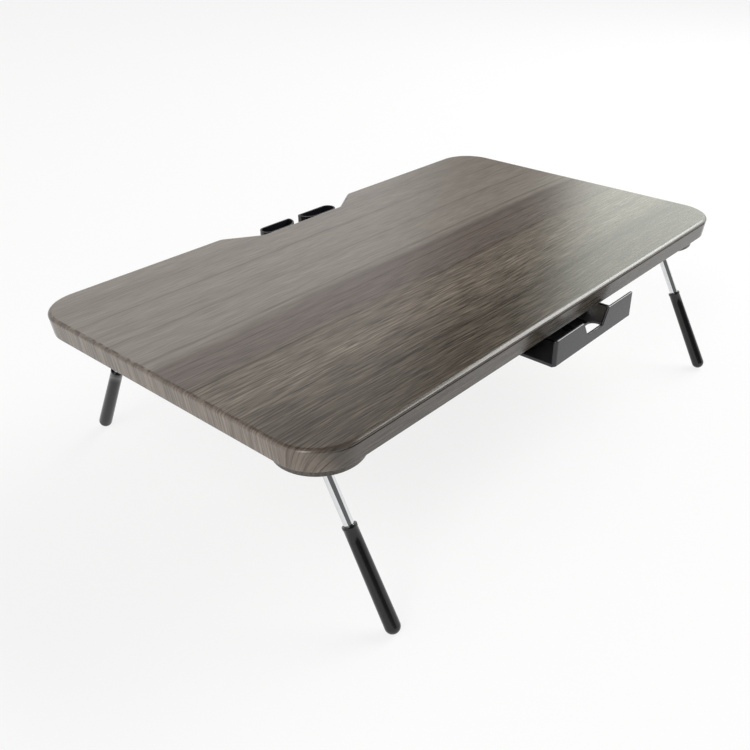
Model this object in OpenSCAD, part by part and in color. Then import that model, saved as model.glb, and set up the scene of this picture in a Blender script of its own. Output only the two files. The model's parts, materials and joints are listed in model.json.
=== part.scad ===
// Low folding laptop stand. A film-wrapped board stands on four legs that fold
// flat under it. A shallow pull-out tray hangs under the front edge, and a twin
// pocket sits in a notch of the back edge.
// Frame: the origin is on the floor under the middle of the board, X runs along
// the board, Y to the back, Z up. All sizes are in millimetres, angles in degrees.

/* [Board] */
// Length of the board
board_l = 700; // [640:10:900]
// Depth of the board, front to back
board_w = 400; // [380:10:520]
// Thickness of the board
board_t = 22; // [16:1:30]
// Height of the top face above the floor
top_h = 187; // [165:1:260]
// Radius of the board's corners in plan
corner_r = 45; // [20:1:80]
// How far the rounded top edge reaches in over the top face
top_edge_in = 4.5; // [1:0.5:6]
// Height of the rounded top edge
top_edge_h = 2.8; // [1:0.2:6]
// How far the lower band of the edge slants in to the underside
band_in = 2.5; // [0:0.5:6]
// Depth of the shadow groove along the front edge
groove_d = 1; // [0.4:0.2:2]
// Height of the shadow groove
groove_h = 1.2; // [0.6:0.2:2]
// Rounding of the board's bottom edge
bottom_edge = 0.9; // [0.3:0.1:2]

/* [Notch] */
// Place of the back notch along the board, from the middle
notch_x = -5.5; // [-60:0.5:60]
// Width of the notch at its bottom
notch_inner_w = 128; // [125:1:180]
// Width of the notch at the back edge
notch_outer_w = 212; // [205:1:300]
// Depth of the notch from the back edge
notch_d = 27; // [24:0.5:45]
// Rounding of the notch's corners
notch_r = 14; // [4:1:20]

/* [Legs] */
// Distance of the front legs from the board's ends
front_leg_in = 52; // [50:1:60]
// Distance of the back legs from the board's ends
back_leg_in = 74; // [70:1:85]
// Distance of the leg hinges from the board's long edges
hinge_in = 54; // [52:0.5:70]
// How far the hinges lie to the right of their blocks' middles
legs_x = -3.5; // [-4:0.5:4]
// Lean of an opened leg from upright
leg_lean = 29.2; // [15:0.1:35]
// Diameter of the leg rod
rod_d = 9.5; // [8:0.5:12]
// Length of the plastic sleeve, tip included
sleeve_l = 104; // [80:1:125]
// Diameter of the sleeve at its upper end
sleeve_top_d = 12.8; // [12.4:0.1:14]
// Diameter of the sleeve at its rounded tip
sleeve_tip_d = 14.4; // [14.2:0.1:15.5]
// Length of the collar at the sleeve's upper end
collar_l = 3; // [1:0.5:6]
// How far the collar stands out from the sleeve
collar_out = 0.4; // [0.2:0.1:1]

/* [Leg hinges] */
// Diameter of the round mounting block of a leg
block_d = 81; // [72:1:90]
// Height of the round mounting block
block_h = 13; // [13:0.5:16]
// How far the block's middle lies outside the hinge
block_out = 2; // [0:0.5:5]
// Depth of the hinge pin's axis below the board
pin_drop = 8.5; // [8.4:0.1:9]
// Diameter of the hinge pin
pin_d = 5; // [4:0.5:6]
// Thickness of the bracket's steel sheet
sheet_t = 1.5; // [1:0.1:2]
// Width of the bracket's flange plate, across the leg
plate_w = 46; // [42:1:50]
// Length of the bracket's flange plate, along the leg's swing
plate_l = 44; // [40:1:48]
// Width of the flattened eye at the rod's end
eye_w = 7.9; // [7.4:0.1:9]
// Length of the flattened neck beside the eye
neck_l = 9; // [7:0.5:14]
// Shank diameter of the screws
screw_d = 3.5; // [3:0.1:4]
// Head diameter of the screws
screw_head_d = 7; // [6:0.5:8]
// Head height of the screws
screw_head_h = 2; // [1.6:0.1:2.4]

/* [Tray] */
// Place of the tray along the board, from the middle
tray_x = 31.5; // [-60:0.5:60]
// Width of the tray
tray_w = 153; // [130:1:200]
// Length of the tray, front to back
tray_l = 200; // [180:1:230]
// How far the front panel stands out from the board's front edge
panel_out = 14; // [13:0.5:20]
// Height of the front panel
panel_h = 28.3; // [24:0.1:34]
// How far the front panel reaches up past the board's underside
panel_rise = 3.8; // [1:0.1:6]
// Thickness of the front panel
panel_t = 3.4; // [2.4:0.1:4]
// Rounding of the front panel's upright edges
panel_r = 4; // [2:0.5:6]
// Rounding of the front panel's upper corners
panel_corner_r = 3; // [1:0.5:6]
// Width of the finger notch at the panel's top
pull_top_w = 48.5; // [40:0.5:60]
// Width of the finger notch at its bottom
pull_bottom_w = 30; // [20:0.5:36]
// Depth of the finger notch
pull_d = 16.6; // [10:0.1:19]
// Width of the finger hole in the tray's floor
hole_w = 68; // [50:1:100]
// Length of the finger hole, front to back
hole_l = 20; // [12:0.1:22]
// Rounding of the finger hole's far corners
hole_r = 8; // [3:0.5:10]
// Thickness of the tray's floor
floor_t = 2.4; // [2:0.1:3]
// Thickness of the tray's walls
tray_wall = 2; // [1.6:0.1:3]
// Height of the low rim at the tray's front half, floor included
low_rim_h = 3.2; // [3:0.1:6]
// Distance from the front panel to where the side walls rise
side_rise_at = 44; // [36:1:60]
// Length of the slope on which the side walls rise
side_slope = 10; // [4:1:20]
// Distance of the first floor rib from the tray's left side
rib_first = 44; // [20:0.5:50]
// Spacing of the ribs on the tray's floor
rib_pitch = 29.5; // [20:0.5:36]
// Thickness of a floor rib
rib_t = 1.4; // [1:0.1:2]
// Height of a floor rib above the floor
rib_h = 1.2; // [0.8:0.1:5]
// Width of the running flange on the tray's side walls
flange_w = 3.3; // [2.5:0.1:4]
// Thickness of the running flange
flange_t = 2; // [1.6:0.1:2.6]
// How far the rear ear stands out past the running flange
ear_out = 2.7; // [2:0.1:3]
// Length of the rear ear
ear_l = 10; // [6:1:16]
// How far the tray pulls out from its pictured place
tray_travel = 125; // [90:1:125]

/* [Rails] */
// Length of a rail
rail_l = 173; // [160:1:180]
// Distance of the rail's front end behind the board's front edge
rail_back = 35; // [32:1:45]
// Thickness of the rail's web and wall
rail_t = 1.5; // [1.2:0.1:2.2]
// Thickness of the lip that carries the flange
lip_t = 1.8; // [1.4:0.1:2.5]
// Width of the rail's screw flange
rail_flange_w = 12; // [10:0.5:18]
// Number of screws in a rail
rail_screws_n = 3; // [2:1:5]
// Clearance between the sliding tray and its rails
slide_gap = 0.3; // [0.2:0.05:0.5]

/* [Rear pocket] */
// Length of the left pocket, outside
pocket_left_l = 52; // [44:0.5:60]
// Length of the right pocket, outside
pocket_right_l = 53; // [44:0.5:60]
// Gap between the two pockets at their back
pocket_gap = 14; // [10:0.5:18]
// How far the pockets' middle lies to the right of the notch's middle
pocket_shift = 2.5; // [0:0.5:4]
// Width of a pocket front to back, outside
pocket_w = 19.5; // [15:0.1:21]
// Height of a pocket, outside
pocket_h = 40; // [30:1:60]
// How far the pocket's rim lies below the top face
pocket_drop = 1.8; // [0:0.1:4]
// Wall thickness of a pocket
pocket_wall = 1.8; // [1.4:0.1:2.4]
// Rounding of the back corners beside the gap
pocket_r = 2.5; // [2.5:0.5:6]
// Gap between the pocket and the notch wall
pocket_clear = 0.8; // [0.5:0.1:2]
// Length of the mounting tab under the board
tab_l = 24; // [20:1:32]
// Thickness of the mounting tab
tab_t = 3; // [2:0.1:4]

/* [Hidden] */

$fn = 64;
cut = 1;                 // overshoot of a cutting shape past the face it cuts
under = top_h - board_t; // height of the board's underside

wood = [0.48, 0.43, 0.39];
black = [0.10, 0.10, 0.11];
steel = [0.72, 0.73, 0.75];
nylon = [0.90, 0.90, 0.88];

// Legs in the order of their nodes: place of the hinge and turn of its frame.
// In a leg's own frame the leg leans out towards -Y.
FRONT_LEFT = 0;
FRONT_RIGHT = 1;
BACK_LEFT = 2;
BACK_RIGHT = 3;
front_leg_x = board_l / 2 - front_leg_in;
back_leg_x = board_l / 2 - back_leg_in;
hinge_y = board_w / 2 - hinge_in;
LEGS = [
    [legs_x - front_leg_x, -hinge_y, 0], [legs_x + front_leg_x, -hinge_y, 0],
    [legs_x - back_leg_x, hinge_y, 180], [legs_x + back_leg_x, hinge_y, 180]];

// Leg and hinge
rod_r = rod_d / 2;
tip_r = sleeve_tip_d / 2;
pin_z = under - pin_drop;
block_z = under - block_h;
plate_z = block_z - sheet_t;
leg_l = (pin_z - tip_r) / cos(leg_lean); // hinge pin to the middle of the tip
rod_side_gap = 0.4;
pin_gap = 0.05;
washer_gap = 0.1;
stop_gap = 0.3;
channel_in = rod_r + rod_side_gap;       // half width inside the bracket
channel_out = channel_in + sheet_t;      // half width outside the bracket
slot_gap = 0.1;
eye_r = rod_r + 0.5;
stop_y = (pin_z - plate_z) * tan(leg_lean) + rod_r / cos(leg_lean) + stop_gap;
sleeve_end_wall = 2;
bracket_screw_x = (channel_out + plate_w / 2) / 2 + 1;
bracket_screw_y = plate_l / 2 - 8;
bracket_shift = 3;       // the plate reaches further in than out
bracket_screw_l = 12;
plate_r = 4;
board_screw_l = 11;      // how deep a screw bites into the board

// Tray
front_y = -board_w / 2 - panel_out;      // front face of the panel
back_y = front_y + tray_l;
panel_top = under + panel_rise;
tray_z = panel_top - panel_h;
tray_half = tray_w / 2;
flange_top = under - rail_t - slide_gap;
back_wall_h = 18;

// Rails
rail_front = -board_w / 2 + rail_back;
lip_top = flange_top - flange_t - slide_gap;
rail_in = tray_half + 2 * slide_gap;     // inner edge of the lip, from the tray's middle
rail_wall_x = tray_half + flange_w + ear_out + slide_gap;
rail_edge = rail_wall_x + rail_t + rail_flange_w;
rail_screw_x = rail_wall_x + rail_t + rail_flange_w / 2;
rail_screw_inset = 14;
rail_stop_l = 2.5;
rail_stop_y = back_y - ear_l - tray_travel - 2 * slide_gap;

// Rear pocket
notch_y = board_w / 2 - notch_d;
pocket_y = notch_y + pocket_clear;
pocket_total = pocket_left_l + pocket_gap + pocket_right_l;
pocket_x = notch_x + pocket_shift - pocket_total / 2;
pocket_z = top_h - pocket_drop - pocket_h;
pocket_screw_y = notch_y - band_in - tab_l / 2;
pocket_end = pocket_w - pocket_r;       // large rounding of the front corners beside the gap
bridge_h = under - tab_t / 2 - pocket_z; // up into the tab

// ---- helper functions ----

function left_of(v) = [-v.y, v.x];
function unit(v) = v / norm(v);
function turn_of(a, b) = atan2(a.x * b.y - a.y * b.x, a * b);
function turned(v, angle) = [v.x * cos(angle) - v.y * sin(angle), v.x * sin(angle) + v.y * cos(angle)];

// Board outline, counter-clockwise from the front right: corner x, y and radius
OUTLINE = [
    [board_l / 2, -board_w / 2, corner_r],
    [board_l / 2, board_w / 2, corner_r],
    [notch_x + notch_outer_w / 2, board_w / 2, notch_r],
    [notch_x + notch_inner_w / 2, notch_y, notch_r],
    [notch_x - notch_inner_w / 2, notch_y, notch_r],
    [notch_x - notch_outer_w / 2, board_w / 2, notch_r],
    [-board_l / 2, board_w / 2, corner_r],
    [-board_l / 2, -board_w / 2, corner_r]];
ARC_STEPS = 10;
GROOVE_FADE = 8;

function spot(i) = let (c = OUTLINE[(i + len(OUTLINE)) % len(OUTLINE)]) [c.x, c.y];

// Arc round corner i of the outline, moved in by inset. The groove cuts deeper
// where the edge faces the front and fades out round the corners.
function corner_arc(i, inset, groove, z) =
    let (a = unit(spot(i) - spot(i - 1)),
         b = unit(spot(i + 1) - spot(i)),
         turn = turn_of(a, b),
         side = sign(turn),
         r = OUTLINE[i][2],
         middle = spot(i) + side * r * (left_of(a) + left_of(b)) / (1 + a * b))
    [for (k = [0:ARC_STEPS])
        let (out = turned(-side * left_of(a), turn * k / ARC_STEPS),
             deeper = groove * pow(max(0, -side * out.y), GROOVE_FADE),
             p = middle + (r - side * (inset + deeper)) * out)
        [p.x, p.y, z]];

function ring(level) = [
    for (i = [0:len(OUTLINE) - 1]) each corner_arc(i, level[0], level[2], top_h - level[1])];

// Edge profile, from the top face down: inset, depth below the top, groove depth
EDGE_STEPS = 4;
groove_top = top_edge_h + 0.2;
function band_inset(depth) = band_in * (depth - top_edge_h) / (board_t - top_edge_h);
PROFILE = concat(
    [for (k = [0:EDGE_STEPS]) let (a = 90 * k / EDGE_STEPS)
        [top_edge_in * (1 - sin(a)), top_edge_h * (1 - cos(a)), 0]],
    [[band_inset(groove_top), groove_top, 0],
     [band_inset(groove_top + groove_h / 3), groove_top + groove_h / 3, groove_d],
     [band_inset(groove_top + 2 * groove_h / 3), groove_top + 2 * groove_h / 3, groove_d],
     [band_inset(groove_top + groove_h), groove_top + groove_h, 0],
     [band_inset(board_t - bottom_edge), board_t - bottom_edge, 0],
     [band_inset(board_t) + bottom_edge, board_t, 0]]);

// ---- helper shapes ----

// Puts children at a leg's hinge, in the leg's own frame
module at_leg(i) {
    translate([LEGS[i].x, LEGS[i].y, 0]) rotate([0, 0, LEGS[i].z]) children();
}

// Puts children at the hinge pin of leg i, with -Z along the opened leg
module along_leg(i) {
    at_leg(i) translate([0, 0, pin_z]) rotate([-leg_lean, 0, 0]) children();
}

// Cylinder along X, its middle at the origin
module across(r, l) {
    rotate([0, 90, 0]) cylinder(r = r, h = l, center = true);
}

// Pan-head screw seen from below: the head's flat is at the origin, shank up
module screw(l) {
    cylinder(d = screw_d, h = l);
    translate([0, 0, -screw_head_h / 2]) cylinder(d = screw_head_d, h = screw_head_h / 2);
    translate([0, 0, -screw_head_h])
        cylinder(d1 = screw_head_d - screw_head_h, d2 = screw_head_d, h = screw_head_h / 2);
}

// Flat plate with round corners, centred in X and Y
module round_plate(w, l, h, r) {
    linear_extrude(h) union() {
        square([w - 2 * r, l], center = true);
        square([w, l - 2 * r], center = true);
        for (sx = [-1, 1], sy = [-1, 1])
            translate([sx * (w / 2 - r), sy * (l / 2 - r)]) circle(r);
    }
}

// Points on an arc of radius r, in equal steps
ARC_TURN = 7.5;
function arc_points(middle, r, from, to) =
    [for (a = [from:ARC_TURN:to]) middle + r * [cos(a), sin(a)]];

// Pocket outline: half-round left end, right end with back corner r and a front
// corner that takes up the rest of the width
module pocket_outline(l, w, r) {
    polygon(concat(
        arc_points([w / 2, w / 2], w / 2, 90, 270),
        arc_points([l - w + r, w - r], w - r, -90, 0),
        arc_points([l - r, w - r], r, ARC_TURN, 90)));
}

// ---- board ----

module tabletop() {
    rings = [for (level = PROFILE) ring(level)];
    n = len(rings[0]);
    last = (len(rings) - 1) * n;
    color(wood)
        polyhedron(
            points = [for (r = rings) each r],
            faces = concat(
                [[for (i = [n - 1:-1:0]) i]],
                [for (k = [0:len(rings) - 2], i = [0:n - 1])
                    let (a = k * n + i, b = k * n + (i + 1) % n) each [[a, b, b + n], [a, b + n, a + n]]],
                [[for (i = [0:n - 1]) last + i]]),
            convexity = 6);
}

// ---- leg hinges ----

// Places of the four screws of one bracket, in the leg's frame
module at_bracket_screws() {
    for (sx = [-1, 1], sy = [-1, 1])
        translate([sx * bracket_screw_x, bracket_shift + sy * bracket_screw_y, 0]) children();
}

// Round film-wrapped block under the board, slotted for the folding rod
module leg_mount(i) {
    slot_out = stop_y + sheet_t + slot_gap;
    color(wood) at_leg(i) translate([0, 0, block_z]) difference() {
        translate([-legs_x * cos(LEGS[i].z), -block_out, 0])
            cylinder(d = block_d, h = block_h, $fn = 96);
        translate([-channel_out - slot_gap, -slot_out, -cut])
            cube([2 * (channel_out + slot_gap), slot_out + block_d, block_h + 2 * cut]);
        at_bracket_screws() translate([0, 0, -cut])
            cylinder(d = screw_d, h = bracket_screw_l - sheet_t + cut);
    }
}

// Pressed steel bracket: flange plate below the block, channel up inside its slot
module hinge_bracket(i) {
    inner_end = bracket_shift + plate_l / 2;
    color(steel) at_leg(i) difference() {
        union() {
            translate([0, bracket_shift, plate_z]) round_plate(plate_w, plate_l, sheet_t, plate_r);
            translate([-channel_out, -stop_y - sheet_t, plate_z])
                cube([2 * channel_out, stop_y + sheet_t + inner_end, under - plate_z]);
        }
        translate([-channel_in, -stop_y, plate_z - cut])
            cube([2 * channel_in, stop_y + inner_end + cut, under - sheet_t - plate_z + cut]);
        translate([0, 0, pin_z]) across(pin_d / 2, 2 * channel_out + 2 * cut);
        at_bracket_screws() translate([0, 0, plate_z - cut])
            cylinder(d = screw_d + 2 * slot_gap, h = sheet_t + 2 * cut);
    }
}

// Hinge pin, pressed into both cheeks of the bracket
module hinge_pin(i) {
    color(steel) at_leg(i) translate([0, 0, pin_z]) across(pin_d / 2, 2 * channel_out);
}

// Nylon washers that centre each rod's eye between the cheeks
module hinge_washers() {
    washer_t = channel_in - eye_w / 2 - washer_gap;
    color(nylon) for (i = [0:len(LEGS) - 1], s = [-1, 1])
        at_leg(i) translate([s * (channel_in - washer_t / 2), 0, pin_z]) difference() {
            across(eye_r, washer_t);
            across(pin_d / 2, washer_t + 2 * cut);
        }
}

// Screws that hold the brackets to the blocks
module bracket_screws() {
    color(steel) for (i = [0:len(LEGS) - 1])
        at_leg(i) at_bracket_screws() translate([0, 0, plate_z]) screw(bracket_screw_l);
}

// ---- legs ----

// Chromed rod with a flattened, drilled eye at the hinge
module leg_rod(i) {
    rod_end = leg_l - sleeve_end_wall;
    color(steel) along_leg(i) difference() {
        union() {
            across(eye_r, eye_w);
            intersection() {
                translate([0, 0, -neck_l]) cylinder(r = rod_r, h = neck_l);
                translate([-eye_w / 2, -rod_d, -neck_l]) cube([eye_w, 2 * rod_d, neck_l]);
            }
            translate([0, 0, -rod_end]) cylinder(r = rod_r, h = rod_end - neck_l);
        }
        across(pin_d / 2 + pin_gap, rod_d + 2 * cut);
    }
}

// Black sleeve on the rod's lower end, with a collar and a round tip
module leg_sleeve(i) {
    top = leg_l + tip_r - sleeve_l;  // distance from the hinge pin to the collar
    color(black) along_leg(i) difference() {
        union() {
            translate([0, 0, -leg_l]) sphere(tip_r);
            translate([0, 0, -leg_l]) cylinder(r1 = tip_r, r2 = sleeve_top_d / 2, h = leg_l - top);
            translate([0, 0, -top - collar_l]) cylinder(d = sleeve_top_d + 2 * collar_out, h = collar_l);
        }
        translate([0, 0, -leg_l + sleeve_end_wall]) cylinder(r = rod_r, h = leg_l);
    }
}

// ---- tray ----

// Side wall with its flange: low at the front, rising to the rail behind
module tray_side() {
    rise_y = front_y + side_rise_at;
    translate([tray_half, 0, 0]) rotate([90, 0, -90])
        linear_extrude(tray_wall) polygon([
            [-front_y - panel_t / 2, tray_z], [-back_y, tray_z], [-back_y, flange_top],
            [-rise_y - side_slope, flange_top], [-rise_y, tray_z + low_rim_h],
            [-front_y - panel_t / 2, tray_z + low_rim_h]]);
    translate([tray_half - cut, rise_y + side_slope, flange_top - flange_t])
        cube([flange_w + cut, back_y - rise_y - side_slope, flange_t]);
    translate([tray_half - cut, back_y - ear_l, flange_top - flange_t])
        cube([flange_w + ear_out + cut, ear_l, flange_t]);
}

// Front view of the panel: upper corners rounded
module panel_face() {
    translate([-tray_half, tray_z]) square([tray_w, panel_h - panel_corner_r]);
    translate([-tray_half + panel_corner_r, tray_z]) square([tray_w - 2 * panel_corner_r, panel_h]);
    for (s = [-1, 1]) translate([s * (tray_half - panel_corner_r), panel_top - panel_corner_r])
        circle(panel_corner_r);
}

// Front panel with round upright edges and the finger notch in its top
module tray_panel() {
    difference() {
        intersection() {
            translate([0, front_y, tray_z]) linear_extrude(panel_h) {
                translate([-tray_half + panel_r, 0]) square([tray_w - 2 * panel_r, panel_t]);
                for (s = [-1, 1]) intersection() {
                    translate([s * (tray_half - panel_r), panel_r]) circle(panel_r);
                    translate([s * tray_half - (s + 1) / 2 * panel_r, 0]) square([panel_r, panel_t]);
                }
            }
            translate([0, front_y + panel_t + cut, 0]) rotate([90, 0, 0])
                linear_extrude(panel_t + 2 * cut) panel_face();
        }
        translate([0, front_y + panel_t + cut, panel_top]) rotate([90, 0, 0])
            linear_extrude(panel_t + 2 * cut) polygon([
                [-pull_top_w / 2, 0], [-pull_bottom_w / 2, -pull_d], [pull_bottom_w / 2, -pull_d],
                [pull_top_w / 2, 0], [pull_top_w / 2, cut], [-pull_top_w / 2, cut]]);
    }
}

// Finger hole in the floor, right behind the panel
module tray_hole() {
    translate([-hole_w / 2, front_y + panel_t, tray_z - cut]) linear_extrude(floor_t + 2 * cut) {
        square([hole_w, hole_l - hole_r]);
        translate([hole_r, 0]) square([hole_w - 2 * hole_r, hole_l]);
        for (x = [hole_r, hole_w - hole_r]) translate([x, hole_l - hole_r]) circle(hole_r);
    }
}

// Moulded tray: floor, ribs, low rims, side walls with flanges, panel
module drawer_tray() {
    rib_y = front_y + panel_t + hole_l + 1;
    color(black) translate([tray_x, 0, 0]) {
        difference() {
            translate([-tray_half, front_y + panel_t / 2, tray_z])
                cube([tray_w, tray_l - panel_t / 2, floor_t]);
            tray_hole();
        }
        for (k = [0:2])
            translate([-tray_half + rib_first + k * rib_pitch - rib_t / 2, rib_y, tray_z])
                cube([rib_t, back_y - tray_wall / 2 - rib_y, floor_t + rib_h]);
        translate([-tray_half, back_y - tray_wall, tray_z]) cube([tray_w, tray_wall, back_wall_h]);
        tray_side();
        mirror([1, 0, 0]) tray_side();
        tray_panel();
    }
}

// ---- rails ----

// Places of a rail's screws, from the tray's middle
module at_rail_screws() {
    span = rail_l - 2 * rail_screw_inset;
    for (k = [0:rail_screws_n - 1])
        translate([rail_screw_x, rail_front + rail_screw_inset + k * span / (rail_screws_n - 1), 0])
            children();
}

// C-shaped rail on the tray's right: web under the board, wall, lip and end stop
module rail() {
    color(steel) difference() {
        union() {
            translate([rail_in, rail_front, under - rail_t]) cube([rail_edge - rail_in, rail_l, rail_t]);
            translate([rail_wall_x, rail_front, lip_top - lip_t])
                cube([rail_t, rail_l, under - lip_top + lip_t]);
            translate([rail_in, rail_front, lip_top - lip_t])
                cube([rail_wall_x - rail_in + rail_t, rail_l, lip_t]);
            translate([tray_half + flange_w + 2 * slide_gap, rail_stop_y - rail_stop_l, lip_top - lip_t])
                cube([ear_out, rail_stop_l, under - lip_top + lip_t]);
        }
        at_rail_screws() translate([0, 0, under - rail_t - cut])
            cylinder(d = screw_d + 2 * slot_gap, h = rail_t + 2 * cut);
    }
}

module rail_right() {
    translate([tray_x, 0, 0]) rail();
}

module rail_left() {
    translate([tray_x, 0, 0]) mirror([1, 0, 0]) rail();
}

// Screws that hold the rails to the board
module rail_screws() {
    color(steel) translate([tray_x, 0, 0]) for (s = [0, 1]) mirror([s, 0, 0])
        at_rail_screws() translate([0, 0, under - rail_t]) screw(rail_t + board_screw_l);
}

// ---- rear pocket ----

// One open-topped pocket, its large rounding on the left
module pocket(l) {
    inner = pocket_wall;
    difference() {
        linear_extrude(pocket_h) pocket_outline(l, pocket_w, pocket_r);
        translate([inner, inner, inner]) linear_extrude(pocket_h)
            pocket_outline(l - 2 * inner, pocket_w - 2 * inner, pocket_r - inner);
    }
}

// Places of the pocket's screws in its mounting tab
module at_pocket_screws() {
    for (x = [pocket_left_l / 2, pocket_total / 2, pocket_total - pocket_right_l / 2])
        translate([pocket_x + x, pocket_screw_y, 0]) children();
}

// Twin pocket in the notch, joined by a bridge and a tab that screws under the board
module rear_pocket() {
    tab_y = notch_y - band_in - tab_l;
    tab_r = pocket_w / 2;
    color(black) {
        translate([pocket_x, pocket_y, pocket_z]) pocket(pocket_left_l);
        translate([pocket_x + pocket_total, pocket_y, pocket_z])
            mirror([1, 0, 0]) pocket(pocket_right_l);
        translate([pocket_x + pocket_left_l - pocket_end - cut, pocket_y, pocket_z])
            cube([pocket_gap + 2 * (pocket_end + cut), pocket_wall, bridge_h]);
        difference() {
            translate([pocket_x + tab_r, tab_y, under - tab_t])
                cube([pocket_total - 2 * tab_r, pocket_y + pocket_wall / 2 - tab_y, tab_t]);
            at_pocket_screws() translate([0, 0, under - tab_t - cut])
                cylinder(d = screw_d + 2 * slot_gap, h = tab_t + 2 * cut);
        }
    }
}

// Screws that hold the rear pocket to the board
module pocket_screws() {
    color(steel) at_pocket_screws() translate([0, 0, under - tab_t]) screw(tab_t + board_screw_l);
}

tabletop();
leg_mount(FRONT_LEFT);  // leg_mount_front_left
leg_mount(FRONT_RIGHT);  // leg_mount_front_right
leg_mount(BACK_LEFT);  // leg_mount_back_left
leg_mount(BACK_RIGHT);  // leg_mount_back_right
hinge_bracket(FRONT_LEFT);  // hinge_bracket_front_left
hinge_bracket(FRONT_RIGHT);  // hinge_bracket_front_right
hinge_bracket(BACK_LEFT);  // hinge_bracket_back_left
hinge_bracket(BACK_RIGHT);  // hinge_bracket_back_right
hinge_pin(FRONT_LEFT);  // hinge_pin_front_left
hinge_pin(FRONT_RIGHT);  // hinge_pin_front_right
hinge_pin(BACK_LEFT);  // hinge_pin_back_left
hinge_pin(BACK_RIGHT);  // hinge_pin_back_right
hinge_washers();
bracket_screws();
leg_rod(FRONT_LEFT);  // leg_rod_front_left
leg_rod(FRONT_RIGHT);  // leg_rod_front_right
leg_rod(BACK_LEFT);  // leg_rod_back_left
leg_rod(BACK_RIGHT);  // leg_rod_back_right
leg_sleeve(FRONT_LEFT);  // leg_sleeve_front_left
leg_sleeve(FRONT_RIGHT);  // leg_sleeve_front_right
leg_sleeve(BACK_LEFT);  // leg_sleeve_back_left
leg_sleeve(BACK_RIGHT);  // leg_sleeve_back_right
drawer_tray();
rail_left();
rail_right();
rail_screws();
rear_pocket();
pocket_screws();
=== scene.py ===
"""Looks for a low folding lap table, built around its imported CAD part.

All lengths are in metres, in the CAD part's frame: the origin is on the floor
under the middle of the board, X runs along the board, Y to the back, Z up.
"""

from __future__ import annotations

import json
import logging
import math
from dataclasses import dataclass, field
from enum import Enum
from typing import Iterable, Sequence

import bmesh
import bpy
from mathutils import Matrix, Vector

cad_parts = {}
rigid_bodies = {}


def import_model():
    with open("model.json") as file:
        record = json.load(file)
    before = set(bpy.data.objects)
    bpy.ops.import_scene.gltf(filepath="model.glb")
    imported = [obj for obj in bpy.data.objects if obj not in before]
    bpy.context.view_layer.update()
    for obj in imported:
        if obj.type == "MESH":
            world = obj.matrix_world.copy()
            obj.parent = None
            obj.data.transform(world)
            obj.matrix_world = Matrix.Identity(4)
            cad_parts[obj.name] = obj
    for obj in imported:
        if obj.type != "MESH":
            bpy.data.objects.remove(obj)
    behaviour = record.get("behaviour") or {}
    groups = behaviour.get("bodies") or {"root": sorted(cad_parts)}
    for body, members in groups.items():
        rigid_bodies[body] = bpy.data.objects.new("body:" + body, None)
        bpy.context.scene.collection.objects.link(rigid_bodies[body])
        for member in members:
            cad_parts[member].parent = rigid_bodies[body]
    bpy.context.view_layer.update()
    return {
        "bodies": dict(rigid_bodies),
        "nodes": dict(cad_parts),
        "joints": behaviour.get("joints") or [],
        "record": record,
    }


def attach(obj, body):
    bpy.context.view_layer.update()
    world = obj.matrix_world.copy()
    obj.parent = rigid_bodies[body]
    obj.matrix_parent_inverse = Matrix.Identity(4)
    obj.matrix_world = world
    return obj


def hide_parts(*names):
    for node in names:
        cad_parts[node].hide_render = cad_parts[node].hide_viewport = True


LOG = logging.getLogger("lap_table")
MM = 0.001

Socket = bpy.types.NodeSocket
Colour = tuple[float, float, float]


class Body(str, Enum):
    """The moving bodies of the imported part."""

    STAND = "stand"
    DRAWER = "drawer"
    FRONT_LEFT = "leg_front_left"
    FRONT_RIGHT = "leg_front_right"
    BACK_LEFT = "leg_back_left"
    BACK_RIGHT = "leg_back_right"


class Slot(str, Enum):
    """The record's material slots."""

    BOARD = "board_film"
    MOUNT = "mount_film"
    SHEET = "sheet_steel"
    FASTENER = "fastener_steel"
    NYLON = "nylon"
    ROD = "rod_chrome"
    SLEEVE = "sleeve_plastic"
    BLACK = "black_plastic"


# ---- node helpers ----


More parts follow.
